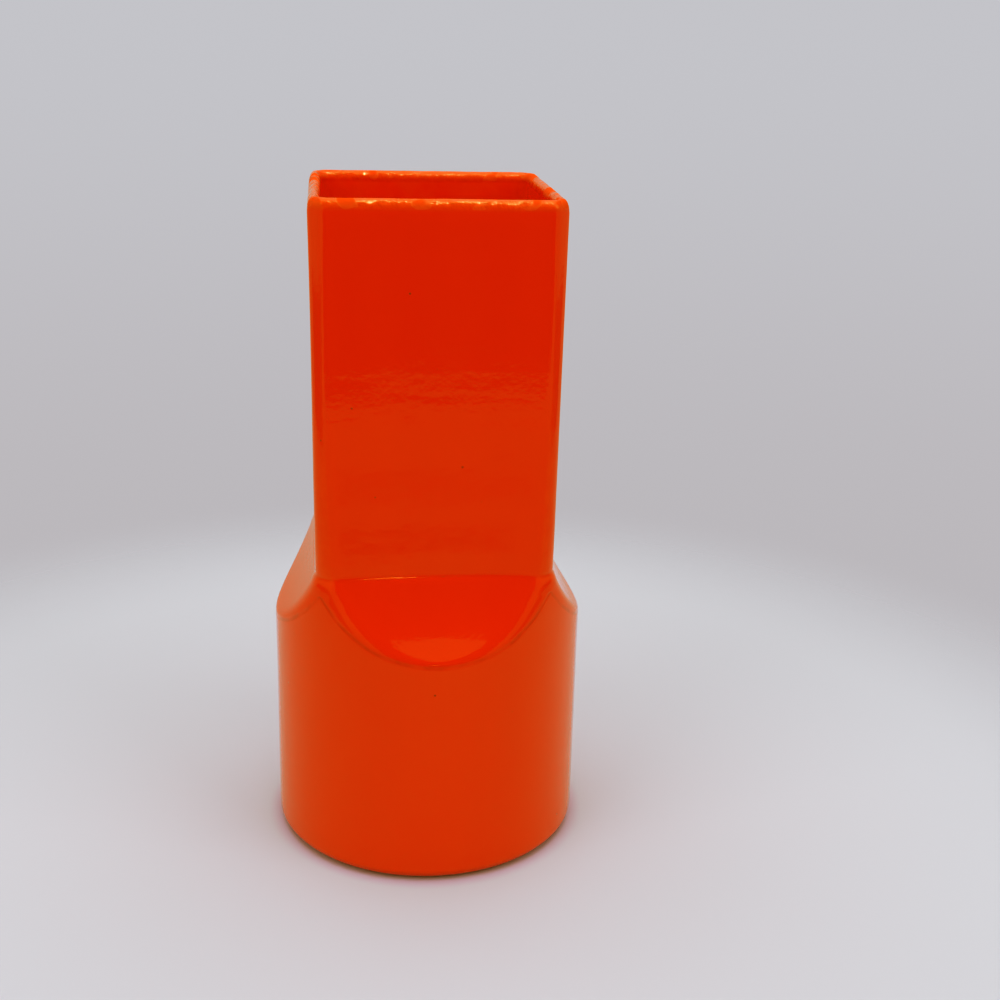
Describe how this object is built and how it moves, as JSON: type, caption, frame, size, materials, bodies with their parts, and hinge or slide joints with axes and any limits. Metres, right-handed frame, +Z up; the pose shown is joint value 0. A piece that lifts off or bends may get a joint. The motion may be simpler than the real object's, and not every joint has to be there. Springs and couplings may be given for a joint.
{
  "type": "vase",
  "caption": "Glazed ceramic vase with a round base whose upper part is cut away by sloping facets into a tall, hollow, square neck open at the top.",
  "frame": {"origin": "centre of the foot ring, on the surface that the vase stands on", "axes": "+Z up the vase's axis to the rim; +X and +Y each square to a flat side of the neck"},
  "size_m": [0.12, 0.12, 0.254],
  "materials": {
    "bare_clay": "matt fired clay, unglazed",
    "orange_glaze": "high gloss opaque orange glaze"
  },
  "bodies": {
    "root": {"clay_body": "bare_clay", "glaze_coat": "orange_glaze"}
  },
  "joints": []
}
